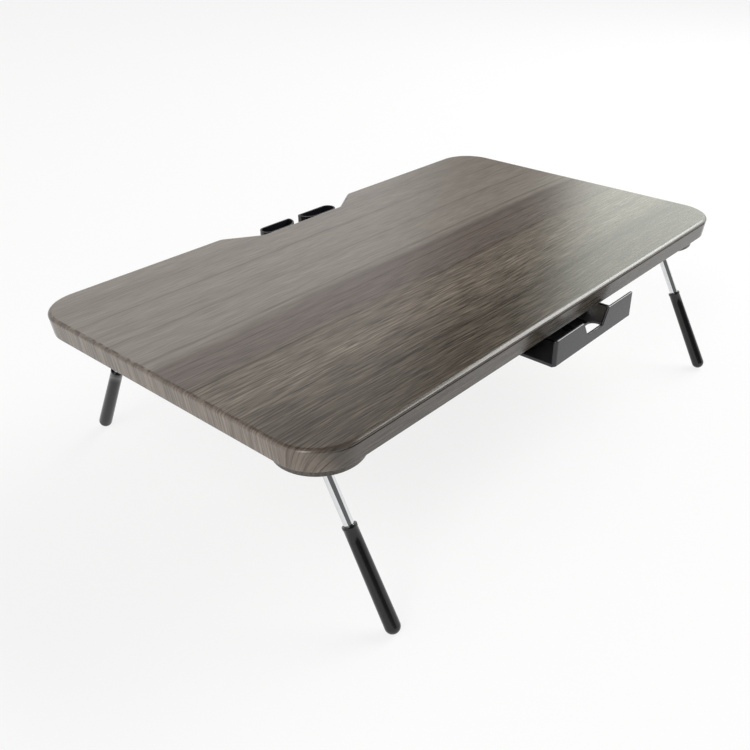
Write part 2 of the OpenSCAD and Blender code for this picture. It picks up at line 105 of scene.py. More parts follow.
class NodeSketch:
    """Adds nodes to one tree and joins them."""

    def __init__(self, tree: bpy.types.NodeTree) -> None:
        """Keeps the tree.

        Args:
            tree: the node tree to fill.
        """
        self.tree = tree

    def add(self, kind: str, **settings: object) -> bpy.types.Node:
        """Adds one node.

        Args:
            kind: the node's type name.
            settings: attributes to set on the node.

        Returns:
            The new node.
        """
        node = self.tree.nodes.new(kind)
        for name, value in settings.items():
            setattr(node, name, value)
        return node

    def feed(self, target: Socket, value: object) -> None:
        """Links a socket to a target, or sets the target's own value.

        Args:
            target: the input socket.
            value: an output socket, a number, a colour or a vector.
        """
        if isinstance(value, bpy.types.NodeSocket):
            self.tree.links.new(value, target)
        elif value is not None:
            target.default_value = value

    def math(self, operation: str, a: object, b: object = None, c: object = None) -> Socket:
        """Adds a Math node.

        Args:
            operation: the node's operation.
            a: the first input.
            b: the second input, where there is one.
            c: the third input, where there is one.

        Returns:
            The node's result.
        """
        node = self.add("ShaderNodeMath", operation=operation)
        for target, value in zip(node.inputs, (a, b, c)):
            self.feed(target, value)
        return node.outputs[0]

    def times(self, a: object, b: object) -> Socket:
        """Multiplies two numbers."""
        return self.math("MULTIPLY", a, b)

    def gap(self, value: Socket, place: float) -> Socket:
        """Gives how far a number is from a place."""
        return self.math("ABSOLUTE", self.math("SUBTRACT", value, place))

    def sway(self, middle: object, value: Socket, reach: float) -> Socket:
        """Shifts a number to both sides of its middle by a noise value, over a reach."""
        return self.math("ADD", middle, self.times(self.math("SUBTRACT", value, 0.5), reach))

    def span(self, value: object, low: float, high: float,
             to_low: float = 0.0, to_high: float = 1.0) -> Socket:
        """Maps low..high smoothly to to_low..to_high.

        Args:
            value: the number to map.
            low: the value that gives to_low.
            high: the value that gives to_high.
            to_low: the result at low.
            to_high: the result at high.

        Returns:
            The mapped number.
        """
        node = self.add("ShaderNodeMapRange", interpolation_type="SMOOTHSTEP")
        for target, given in zip(node.inputs, (value, low, high, to_low, to_high)):
            self.feed(target, given)
        return node.outputs[0]

    def vector(self, x: object, y: object, z: object = 0.0) -> Socket:
        """Joins three numbers to a vector.

        Args:
            x: the number along X.
            y: the number along Y.
            z: the number along Z.

        Returns:
            The vector.
        """
        node = self.add("ShaderNodeCombineXYZ")
        for target, value in zip(node.inputs, (x, y, z)):
            self.feed(target, value)
        return node.outputs[0]

    def split(self, vector: Socket) -> tuple[Socket, Socket, Socket]:
        """Splits a vector.

        Args:
            vector: the vector.

        Returns:
            Its three numbers.
        """
        node = self.add("ShaderNodeSeparateXYZ")
        self.feed(node.inputs[0], vector)
        return node.outputs[0], node.outputs[1], node.outputs[2]

    def noise(self, vector: Socket, scale: float, detail: float = 2.0, roughness: float = 0.5) -> Socket:
        """Adds a noise texture.

        Args:
            vector: where the noise is read.
            scale: how many times it varies in a metre.
            detail: how many finer layers it has.
            roughness: how strong the finer layers are.

        Returns:
            The noise value, from 0 to 1.
        """
        node = self.add("ShaderNodeTexNoise")
        self.feed(node.inputs["Vector"], vector)
        for name, value in (("Scale", scale), ("Detail", detail), ("Roughness", roughness)):
            node.inputs[name].default_value = value
        return node.outputs["Fac"]

    def mix(self, factor: object, a: object, b: object, blend: str = "MIX") -> Socket:
        """Mixes two colours.

        Args:
            factor: how much of b there is.
            a: the first colour.
            b: the second colour.
            blend: the blend type.

        Returns:
            The mixed colour.
        """
        node = self.add("ShaderNodeMix", data_type="RGBA", blend_type=blend)
        self.feed(node.inputs["Factor"], factor)
        for name, value in (("A", a), ("B", b)):
            target = next(s for s in node.inputs if s.name == name and s.type == "RGBA")
            self.feed(target, value if isinstance(value, bpy.types.NodeSocket) else (*value, 1.0))
        return next(s for s in node.outputs if s.type == "RGBA")

    def ramp(self, factor: Socket, stops: Sequence[tuple[float, Colour]], smooth: bool = True) -> Socket:
        """Adds a colour ramp.

        Args:
            factor: where the ramp is read.
            stops: the place and colour of each stop.
            smooth: whether the colours ease into each other.

        Returns:
            The ramp's colour.
        """
        node = self.add("ShaderNodeValToRGB")
        node.color_ramp.interpolation = "EASE" if smooth else "LINEAR"
        elements = node.color_ramp.elements
        while len(elements) < len(stops):
            elements.new(0.5)
        for element, (place, colour) in zip(elements, sorted(stops)):
            element.position = place
            element.color = (*colour, 1.0)
        self.feed(node.inputs[0], factor)
        return node.outputs[0]

    def tint(self, tone: object, value: Socket,
             low: tuple[float, Colour], high: tuple[float, Colour]) -> Socket:
        """Multiplies a colour by a tint that eases from a low to a high one.

        Args:
            tone: the colour so far.
            value: the number that chooses the tint.
            low: the value at which the low tint is met, and that tint.
            high: the value at which the high tint is met, and that tint.

        Returns:
            The tinted colour.
        """
        return self.mix(1.0, tone, self.ramp(value, [low, high]), "MULTIPLY")

    def bump(self, height: Socket, distance: float, strength: float, below: Socket | None = None) -> Socket:
        """Adds a bump node.

        Args:
            height: the height, from 0 to 1.
            distance: the depth that 1 stands for.
            strength: how strongly it shows.
            below: a normal to build on.

        Returns:
            The bent normal.
        """
        node = self.add("ShaderNodeBump")
        self.feed(node.inputs["Height"], height)
        node.inputs["Distance"].default_value = distance
        node.inputs["Strength"].default_value = strength
        self.feed(node.inputs["Normal"], below)
        return node.outputs[0]


def new_material(name: str) -> tuple[bpy.types.Material, NodeSketch, bpy.types.Node]:
    """Makes an empty material with one Principled shader.

    Args:
        name: the material's name.

    Returns:
        The material, a sketch of its tree, and the shader node.
    """
    material = bpy.data.materials.new(name)
    material.use_nodes = True
    sketch = NodeSketch(material.node_tree)
    shader = next(n for n in material.node_tree.nodes if n.type == "BSDF_PRINCIPLED")
    return material, sketch, shader


def object_place(sketch: NodeSketch) -> Socket:
    """Returns the Object coordinates of the surface."""
    return sketch.add("ShaderNodeTexCoord").outputs["Object"]


def grey(level: float) -> Colour:
    """Gives a neutral colour."""
    return (level, level, level)


# ---- finishes ----


class Grain(Enum):
    """The film's layers of long cells: a cell's width over its length, and the cells in a metre across."""

    BROAD = (0.035, 34.0)
    BREAKS = (0.12, 30.0)
    NARROW = (0.015, 120.0)
    FIBRES = (0.045, 520.0)
    FINE = (0.035, 900.0)
    PORES = (0.03, 640.0)

    def read(self, sk: NodeSketch, along: Socket, line: Socket) -> Socket:
        """Reads the layer.

        Args:
            sk: the material's sketch.
            along: the place along the grain.
            line: the place across the grain.

        Returns:
            The noise value.
        """
        stretch, cells = self.value
        return sk.noise(sk.vector(sk.times(along, stretch), line), cells, 2.0, 0.6)


@dataclass(frozen=True)
class Shading:
    """How a noise value darkens and lightens a tone, to two tints met a reach from its middle."""

    low: Colour
    high: Colour
    reach: float

    def lay(self, sk: NodeSketch, tone: Socket, value: Socket, amount: object = 1.0) -> Socket:
        """Shades a tone.

        Args:
            sk: the material's sketch.
            tone: the colour so far.
            value: the noise value.
            amount: how much of the tint is taken.

        Returns:
            The shaded colour.
        """
        stops = [(0.5 - self.reach, self.low), (0.5, grey(1.0)), (0.5 + self.reach, self.high)]
        return sk.mix(amount, tone, sk.ramp(value, stops, smooth=False), "MULTIPLY")


@dataclass(frozen=True)
class WoodFilm:
    """Printed wood-grain film, wrapped over a board and lightly embossed.

    The strips give where each broad strip of the print starts and ends across the board, and its
    tone. The threads give each dark line's place, half width and depth. Pairs are the two values
    between which something comes in or goes out.
    """

    name: str = "wood_film"
    width: float = 0.400
    strips: tuple[tuple[float, float, Colour], ...] = (
        (-0.200, -0.152, (0.074, 0.060, 0.047)), (-0.092, -0.056, (0.137, 0.115, 0.093)),
        (-0.044, 0.002, (0.122, 0.098, 0.086)), (0.014, 0.200, (0.212, 0.187, 0.164)))
    threads: tuple[tuple[float, float, float], ...] = (
        (-0.144, 0.0034, 0.80), (-0.098, 0.0020, 0.45), (-0.050, 0.0042, 0.80), (-0.010, 0.0024, 0.45),
        (0.020, 0.0035, 0.50), (0.070, 0.0026, 0.36), (0.124, 0.0024, 0.40))
    # the ends' and the long edges' tones are lit and shaded copies of one film: painted light on the ends,
    # painted shade on the long edges
    lit_end_tone: Colour = (0.172, 0.142, 0.116)
    shaded_band_tone: Colour = (0.078, 0.066, 0.055)
    streak_dark: Colour = (0.46, 0.41, 0.37)
    # the brown of the film's stretch line, also used as painted shade in the front groove
    stretch_line_and_groove_shade: Colour = (0.055, 0.038, 0.028)
    wander: float = 0.022
    wander_scale: float = 2.4
    wander_share: float = 0.6
    ragged: float = 0.040
    smoothing: tuple[float, float] = (-0.100, 0.022)
    smoothest: float = 0.26
    thread_breaks: tuple[float, float] = (0.32, 0.50)
    pore_marks: tuple[float, float] = (0.58, 0.68)
    pore_depth: float = 0.75
    ends: tuple[float, float] = (0.322, 0.347)
    over_edge: tuple[float, float] = (0.0005, 0.0040)
    stretch_in: tuple[float, float] = (0.0002, 0.0012)
    stretch_out: tuple[float, float] = (0.0016, 0.0038)
    stretch_ragged: tuple[float, float] = (0.42, 0.60)
    stretch_depth: float = 0.80
    groove_at: float = -0.2021
    groove_side: tuple[float, float] = (0.0005, 0.0010)
    groove_shade_strength: float = 0.88
    broad_shade: Shading = Shading((0.88, 0.86, 0.86), (1.10, 1.10, 1.09), 0.24)
    narrow_shade: Shading = Shading((0.82, 0.79, 0.78), (1.14, 1.14, 1.13), 0.22)
    fibre_shade: Shading = Shading((0.62, 0.59, 0.57), (1.36, 1.35, 1.33), 0.13)
    fine_shade: Shading = Shading((0.58, 0.56, 0.55), (1.44, 1.43, 1.41), 0.15)
    side_narrow_shade: Shading = Shading((0.76, 0.73, 0.72), (1.16, 1.14, 1.13), 0.22)
    side_fibre_shade: Shading = Shading((0.62, 0.58, 0.55), (1.36, 1.33, 1.30), 0.18)
    roughness: float = 0.20
    roughness_reach: float = 0.10
    emboss: float = 0.00006

    def streaked(self, sk: NodeSketch, tone: Socket, mask: Socket) -> Socket:
        """Darkens a tone to the streaks' brown under a mask."""
        return sk.mix(mask, tone, sk.mix(1.0, tone, self.streak_dark, "MULTIPLY"))

    def edge_lines(self, sk: NodeSketch, tone: Socket, film: Socket, across: Socket, wrap: Socket) -> Socket:
        """Draws the ragged line where the film is stretched over the edge, and painted shade along the front
        groove.

        Args:
            sk: the material's sketch.
            tone: the colour so far.
            film: the place on the film.
            across: the place across the film.
            wrap: the way along the film from the edge of the top face.

        Returns:
            The colour with both lines.
        """
        torn = sk.noise(film, 160.0, 3.0, 0.7)
        line = sk.times(sk.span(wrap, *self.stretch_in), sk.span(wrap, *self.stretch_out, 1.0, 0.0))
        line = sk.times(line, sk.span(torn, *self.stretch_ragged, 0.0, self.stretch_depth))
        tone = sk.mix(line, tone, self.stretch_line_and_groove_shade)
        # painted shade: a dark brown line where the front groove's crease falls in shadow
        groove = sk.span(sk.gap(across, self.groove_at), *self.groove_side, self.groove_shade_strength, 0.0)
        return sk.mix(groove, tone, self.stretch_line_and_groove_shade)

    def build(self) -> bpy.types.Material:
        """Builds the material. It reads the film UV map and the wrap attribute.

        Returns:
            The material.
        """
        material, sk, shader = new_material(self.name)
        film = sk.add("ShaderNodeUVMap", uv_map="film").outputs[0]
        along, across, _ = sk.split(film)
        wrap = sk.add("ShaderNodeAttribute", attribute_name="wrap").outputs["Fac"]
        # the grain wanders a little from side to side on its way along the board
        drift = sk.noise(sk.vector(along, sk.times(across, self.wander_share)), self.wander_scale)
        line = sk.sway(across, drift, self.wander)
        broad, breaks, narrow, fibres, fine, pores = (layer.read(sk, along, line) for layer in Grain)
        place = sk.math("MULTIPLY_ADD", sk.sway(line, broad, self.ragged), 1 / self.width, 0.5)
        stops = [(y / self.width + 0.5, strip) for start, end, strip in self.strips for y in (start, end)]
        tone = sk.ramp(place, stops, smooth=False)
        for middle, half, depth in self.threads:
            thread = sk.span(sk.gap(line, middle), 0.0, half, depth, 0.0)
            tone = self.streaked(sk, tone, sk.times(thread, sk.span(breaks, *self.thread_breaks)))
        # the print is coarse towards the front and smooth towards the back
        coarse = sk.span(line, *self.smoothing, 1.0, self.smoothest)
        dark = sk.times(sk.span(pores, *self.pore_marks, 0.0, self.pore_depth), coarse)
        tone = self.broad_shade.lay(sk, tone, broad)
        tone = self.narrow_shade.lay(sk, tone, narrow, coarse)
        tone = self.fibre_shade.lay(sk, tone, fibres, coarse)
        tone = self.fine_shade.lay(sk, tone, fine, coarse)
        # painted light and shade: the wrapped ends are painted lighter and warmer and the long edges darker,
        # for how the light falls on each side
        side = sk.mix(sk.span(sk.math("ABSOLUTE", along), *self.ends), self.shaded_band_tone, self.lit_end_tone)
        side = self.side_narrow_shade.lay(sk, side, narrow)
        side = self.side_fibre_shade.lay(sk, side, fibres)
        tone, side = self.streaked(sk, tone, dark), self.streaked(sk, side, dark)
        colour = sk.mix(sk.span(wrap, *self.over_edge), tone, side)
        sk.feed(shader.inputs["Base Color"], self.edge_lines(sk, colour, film, across, wrap))
        sk.feed(shader.inputs["Roughness"], sk.sway(self.roughness, fibres, self.roughness_reach))
        relief = sk.bump(fibres, self.emboss, 0.55)
        sk.feed(shader.inputs["Normal"], sk.bump(fine, self.emboss * 0.5, 0.5, relief))
        return material


@dataclass(frozen=True)
class BackingSheet:
    """Dull light brown backing on the board's underside."""

    name: str = "backing_sheet"
    tone: Colour = (0.36, 0.32, 0.27)
    cloud_scale: float = 9.0
    speck_scale: float = 900.0
    roughness: float = 0.7
    relief: float = 0.00006

    def build(self) -> bpy.types.Material:
        """Builds the material from faint paper fibres.

        Returns:
            The material.
        """
        material, sk, shader = new_material(self.name)
        place = object_place(sk)
        cloud = sk.noise(place, self.cloud_scale, 4.0, 0.6)
        speck = sk.noise(place, self.speck_scale, 2.0, 0.6)
        tone = sk.tint(self.tone, cloud, (0.3, grey(0.93)), (0.7, (1.06, 1.05, 1.04)))
        tone = sk.tint(tone, speck, (0.35, grey(0.86)), (0.65, grey(1.1)))
        sk.feed(shader.inputs["Base Color"], tone)
        shader.inputs["Roughness"].default_value = self.roughness
        sk.feed(shader.inputs["Normal"], sk.bump(speck, self.relief, 0.5))
        return material


@dataclass(frozen=True)
class BlockFilm:
    """Wood film wrapped round a mounting block, its grain across the rim."""

    name: str = "block_film"
    light: Colour = (0.105, 0.090, 0.076)
    dark: Colour = (0.048, 0.040, 0.033)
    grain_scale: float = 620.0
    broad_scale: float = 60.0
    roughness: float = 0.36
    relief: float = 0.00008

    def build(self) -> bpy.types.Material:
        """Builds the material on Object coordinates.

        Returns:
            The material.
        """
        material, sk, shader = new_material(self.name)
        x, y, z = sk.split(object_place(sk))
        grain = sk.noise(sk.vector(sk.times(x, 0.05), y, sk.times(z, 0.3)), self.grain_scale, 3.0, 0.6)
        broad = sk.noise(sk.vector(sk.times(x, 0.1), y, z), self.broad_scale)
        tone = sk.ramp(grain, [(0.32, self.dark), (0.62, self.light)])
        tone = sk.tint(tone, broad, (0.3, grey(0.8)), (0.7, (1.15, 1.14, 1.13)))
        sk.feed(shader.inputs["Base Color"], tone)
        shader.inputs["Roughness"].default_value = self.roughness
        sk.feed(shader.inputs["Normal"], sk.bump(grain, self.relief, 0.5))
        return material


@dataclass(frozen=True)
class MouldedPlastic:
    """Moulded plastic with a fine spark-eroded skin."""

    name: str
    tone: Colour
    roughness: float
    sheen: float = 0.5
    roughness_reach: float = 0.10
    skin: float = 0.00002
    skin_scale: float = 2600.0
    cloud_scale: float = 45.0

    def build(self) -> bpy.types.Material:
        """Builds the material on Object coordinates.

        Returns:
            The material.
        """
        material, sk, shader = new_material(self.name)
        place = object_place(sk)
        grain = sk.noise(place, self.skin_scale, 2.0, 0.6)
        cloud = sk.noise(place, self.cloud_scale, 3.0, 0.6)
        tone = sk.tint(self.tone, cloud, (0.3, grey(0.85)), (0.7, (1.15, 1.15, 1.16)))
        sk.feed(shader.inputs["Base Color"], tone)
        sk.feed(shader.inputs["Roughness"], sk.sway(self.roughness, cloud, self.roughness_reach))
        shader.inputs["Specular IOR Level"].default_value = self.sheen
        sk.feed(shader.inputs["Normal"], sk.bump(grain, self.skin, 0.6))
        return material


@dataclass(frozen=True)
class Metal:
    """A metal with fine drawn or rolled lines."""

    name: str
    tone: Colour
    roughness: float
    line_direction: tuple[float, float, float]
    line_scale: float
    line_depth: float
    blotches: float = 0.1
    blotch_scale: float = 120.0
    roughness_share: float = 0.4

    def build(self) -> bpy.types.Material:
        """Builds the material on Object coordinates.

        Returns:
            The material.
        """
        material, sk, shader = new_material(self.name)
        place = object_place(sk)
        stretched = [sk.times(part, share) for part, share in zip(sk.split(place), self.line_direction)]
        lines = sk.noise(sk.vector(*stretched), self.line_scale, 2.0, 0.6)
        cloud = sk.noise(place, self.blotch_scale, 3.0, 0.6)
        tone = sk.tint(self.tone, cloud, (0.3, grey(1 - self.blotches)), (0.7, grey(1 + self.blotches * 0.5)))
        sk.feed(shader.inputs["Base Color"], tone)
        shader.inputs["Metallic"].default_value = 1.0
        reach = self.roughness * self.roughness_share
        sk.feed(shader.inputs["Roughness"], sk.sway(self.roughness, lines, reach))
        sk.feed(shader.inputs["Normal"], sk.bump(lines, self.line_depth, 0.5))
        return material


BLACK_PLASTIC = MouldedPlastic("black_satin_plastic", (0.013, 0.013, 0.016), 0.20, 0.55)
SLEEVE_PLASTIC = MouldedPlastic("sleeve_plastic", (0.003, 0.003, 0.004), 0.18, 0.50)
NYLON = MouldedPlastic("natural_nylon", (0.70, 0.69, 0.64), 0.4)
CHROME = Metal("polished_chrome", (0.74, 0.75, 0.76), 0.06, (1.0, 1.0, 0.05), 900.0, 0.000004, 0.04)
SHEET_STEEL = Metal("zinc_sheet", (0.52, 0.53, 0.55), 0.34, (1.0, 0.04, 1.0), 1400.0, 0.00001)
SCREW_STEEL = Metal("zinc_screw", (0.60, 0.60, 0.61), 0.24, (1.0, 1.0, 1.0), 2200.0, 0.00001)


class Finishes:
    """The built materials, each made once."""

    def __init__(self) -> None:
        """Builds every material."""
        self.film = WoodFilm().build()
        self.backing = BackingSheet().build()
        self.block = BlockFilm().build()
        self.black = BLACK_PLASTIC.build()
        self.sleeve = SLEEVE_PLASTIC.build()
        self.nylon = NYLON.build()
        self.chrome = CHROME.build()
        self.sheet = SHEET_STEEL.build()
        self.screw = SCREW_STEEL.build()


# ---- mesh helpers ----

WELD = 0.002 * MM
FLAT_DEGREES = 0.6
FACE_WEIGHT = 60


def link_mesh(name: str, mesh: bpy.types.Mesh, materials: Iterable[bpy.types.Material]) -> bpy.types.Object:
    """Puts a mesh in the scene as an object at the origin.

    Args:
        name: the piece's name.
        mesh: its mesh.
        materials: its materials in order.

    Returns:
        The new object.
    """
    piece = bpy.data.objects.new(name, mesh)
    bpy.context.scene.collection.objects.link(piece)
    for material in materials:
        mesh.materials.append(material)
    return piece


def settle(piece: bpy.types.Object, sharp: float = 35.0, weighted: bool = True) -> bpy.types.Object:
    """Gives a piece smooth shading that stays crisp at its edges, and bakes its modifiers in.

    Args:
        piece: the piece.
        sharp: the angle in degrees above which an edge stays sharp.
        weighted: whether large faces keep their own direction.

    Returns:
        The same piece with a plain mesh.
    """
    mesh = piece.data
    for polygon in mesh.polygons:
        polygon.use_smooth = True
    mesh.set_sharp_from_angle(angle=math.radians(sharp))
    if weighted:
        modifier = piece.modifiers.new("weighted", "WEIGHTED_NORMAL")
        modifier.keep_sharp = True
        modifier.weight = FACE_WEIGHT
    bpy.context.view_layer.update()
    graph = bpy.context.evaluated_depsgraph_get()
    settled = bpy.data.meshes.new_from_object(
        piece.evaluated_get(graph), preserve_all_data_layers=True, depsgraph=graph)
    piece.modifiers.clear()
    piece.data = settled
    settled.name = piece.name
    return piece


def softened(node: bpy.types.Object, name: str, width: float, material: bpy.types.Material, segments: int,
             sharp: float, wide: tuple[float, float] | None = None) -> bpy.types.Object:
    """Copies a CAD node with its sharp edges rounded.

    Args:
        node: the CAD node.
        name: the new piece's name.
        width: how wide the rounding is.
        material: the piece's material.
        segments: how many faces the rounding has.
        sharp: edges that turn by more than this angle in degrees are rounded.
        wide: a place along Y and a width: edges in front of it get this wider rounding.

    Returns:
        The new piece.
    """
    work = bmesh.new()
    work.from_mesh(node.data)
    bmesh.ops.remove_doubles(work, verts=work.verts, dist=WELD)
    bmesh.ops.dissolve_limit(work, angle_limit=math.radians(FLAT_DEGREES), verts=work.verts, edges=work.edges)
    edges = [e for e in work.edges if len(e.link_faces) == 2 and e.calc_face_angle(0.0) > math.radians(sharp)]
    groups = [(edges, width, True)]
    if wide:
        limit, front_width = wide
        front = [e for e in edges if e.is_convex and all(v.co.y < limit for v in e.verts)]
        ahead = set(front)
        groups = [(front, front_width, False), ([e for e in edges if e not in ahead], width, True)]
    for chosen, offset, clamped in groups:
        bmesh.ops.bevel(work, geom=[e for e in chosen if e.is_valid], offset=offset, segments=segments,
                        profile=0.5, affect="EDGES", clamp_overlap=clamped)
    mesh = bpy.data.meshes.new(name)
    work.to_mesh(mesh)
    work.free()
    return settle(link_mesh(name, mesh, [material]))


def seat(piece: bpy.types.Object, body: Body, slot: Slot, *nodes: str) -> None:
    """Attaches a piece to the body it rides on and hides the CAD nodes it stands for.

    Args:
        piece: the piece.
        body: the body it rides on.
        slot: the record's material slot; not used.
        nodes: the CAD nodes it replaces.
    """
    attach(piece, body.value)
    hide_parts(*nodes)
    LOG.info("%s rides on %s, %d faces", piece.name, body.value, len(piece.data.polygons))


# ---- board ----


@dataclass
class Corner:
    """One corner of the board's outline in plan."""

    x: float
    y: float
    radius: float


@dataclass
class Board:
    """The film-wrapped board with its back notch and front shadow groove.

    A narrow rim lies inside each rounded edge. The groove's shape gives its cut as a share of its
    depth for each share of its height. The film ends under the board a little way in.
    """

    length: float = 700 * MM
    width: float = 400 * MM
    thickness: float = 22 * MM
    top: float = 187 * MM
    corner_radius: float = 45 * MM
    edge_in: float = 4.5 * MM
    edge_height: float = 2.8 * MM
    band_in: float = 2.5 * MM
    groove_depth: float = 1.0 * MM
    groove_height: float = 1.2 * MM
    groove_gap: float = 0.2 * MM
    bottom_edge: float = 0.9 * MM
    notch_x: float = -5.5 * MM
    notch_inner: float = 128 * MM
    notch_outer: float = 212 * MM
    notch_depth: float = 27 * MM
    notch_radius: float = 14 * MM
    film_return: float = 8 * MM
    arc_steps: int = 24
    edge_steps: int = 8
    groove_fade: float = 8.0
    rim: float = 0.6 * MM
    groove_shape: tuple[tuple[float, float], ...] = (
        (0.0, 0.0), (0.12, 0.55), (0.3, 0.95), (0.5, 1.0), (0.7, 0.95), (0.88, 0.55), (1.0, 0.0))
    lower_steps: int = 4
    corners: list[Corner] = field(default_factory=list)

    def __post_init__(self) -> None:
        """Lists the outline's corners, counter-clockwise from the front right."""
        half_l, half_w = self.length / 2, self.width / 2
        inner, outer, floor = self.notch_inner / 2, self.notch_outer / 2, self.width / 2 - self.notch_depth
        r, n = self.corner_radius, self.notch_radius
        self.corners = [
            Corner(half_l, -half_w, r), Corner(half_l, half_w, r),
            Corner(self.notch_x + outer, half_w, n), Corner(self.notch_x + inner, floor, n),
            Corner(self.notch_x - inner, floor, n), Corner(self.notch_x - outer, half_w, n),
            Corner(-half_l, half_w, r), Corner(-half_l, -half_w, r)]

    def outline(self) -> list[tuple[Vector, Vector, float]]:
        """Walks round the outline.

        Returns:
            For each point its arc's middle, its outward normal and the signed radius from that
            middle, negative where the arc is hollow.
        """
        points = []
        count = len(self.corners)
        for i, corner in enumerate(self.corners):
            here = Vector((corner.x, corner.y))
            before = self.corners[i - 1]
            after = self.corners[(i + 1) % count]
            a = (here - Vector((before.x, before.y))).normalized()
            b = (Vector((after.x, after.y)) - here).normalized()
            turn = math.atan2(a.x * b.y - a.y * b.x, a.dot(b))
            side = math.copysign(1.0, turn)
            left_a, left_b = Vector((-a.y, a.x)), Vector((-b.y, b.x))
            middle = here + side * corner.radius * (left_a + left_b) / (1 + a.dot(b))
            for k in range(self.arc_steps + 1):
                angle = turn * k / self.arc_steps
                start = -side * left_a
                out = Vector((start.x * math.cos(angle) - start.y * math.sin(angle),
                              start.x * math.sin(angle) + start.y * math.cos(angle)))
                points.append((middle, side * out, side * corner.radius))
        return points

    def profile(self) -> list[tuple[float, float, float]]:
        """Lists the edge's levels from the top face down.

        Returns:
            For each level its inset, its depth below the top and the groove's depth there.
        """
        def band(depth: float) -> float:
            """Gives the inset of the slanted band at a depth."""
            return self.band_in * (depth - self.edge_height) / (self.thickness - self.edge_height)

        levels = [(self.edge_in + self.rim, 0.0, 0.0)]
        for k in range(self.edge_steps + 1):
            angle = math.pi / 2 * k / self.edge_steps
            levels.append((self.edge_in * (1 - math.sin(angle)),
                           self.edge_height * (1 - math.cos(angle)), 0.0))
        start = self.edge_height + self.groove_gap
        for share, cut in self.groove_shape:
            depth = start + share * self.groove_height
            levels.append((band(depth), depth, cut * self.groove_depth))
        low = self.thickness - self.bottom_edge
        for k in range(self.lower_steps + 1):
            angle = math.pi / 2 * k / self.lower_steps
            levels.append((band(low) + self.bottom_edge * (1 - math.cos(angle)),
                           low + self.bottom_edge * math.sin(angle), 0.0))
        levels.append((band(low) + self.bottom_edge + self.rim, self.thickness, 0.0))
        levels.append((self.film_return, self.thickness, 0.0))
        return levels

    def mesh(self) -> bpy.types.Mesh:
        """Builds the board's mesh with its film map and wrap attribute.

        Returns:
            The mesh. Its second material index is the bare backing below.
        """
        outline = self.outline()
        levels = self.profile()
        count = len(outline)
        work = bmesh.new()
        uv = work.loops.layers.uv.new("film")
        layer = work.verts.layers.float.new("wrap")
        rings, films, wraps = [], [], []
        path = 0.0
        previous = None
        for inset, depth, groove in levels:
            if previous is not None:
                path += math.hypot(inset - previous[0], depth - previous[1])
            previous = (inset, depth)
            wrap = path - self.rim
            ring, film = [], []
            for middle, out, radius in outline:
                deeper = groove * max(0.0, -out.y) ** self.groove_fade
                point = middle + (radius - inset - deeper) * out
                border = middle + (radius - self.edge_in) * out
                unrolled = border + wrap * out
                ring.append(work.verts.new((point.x, point.y, self.top - depth)))
                film.append((unrolled.x, unrolled.y))
            rings.append(ring)
            films.append(film)
            wraps.append(max(0.0, wrap))
        film_of = {v: films[k][i] for k, ring in enumerate(rings) for i, v in enumerate(ring)}
        work.faces.new(rings[0])
        for upper, lower in zip(rings, rings[1:]):
            for i in range(count):
                j = (i + 1) % count
                work.faces.new((upper[j], upper[i], lower[i], lower[j]))
        below = work.faces.new(list(reversed(rings[-1])))
        below.material_index = 1
        for face in work.faces:
            for loop in face.loops:
                loop[uv].uv = film_of[loop.vert]
        for ring, wrap in zip(rings, wraps):
            for vert in ring:
                vert[layer] = wrap
        mesh = bpy.data.meshes.new("board")
        work.to_mesh(mesh)
        work.free()
        return mesh

    def build(self, finishes: Finishes) -> None:
        """Args:
            finishes: the built materials.
        """
        piece = link_mesh("board", self.mesh(), [finishes.film, finishes.backing])
        settle(piece, 40.0)
        seat(piece, Body.STAND, Slot.BOARD, "tabletop")


# ---- repeated fasteners ----


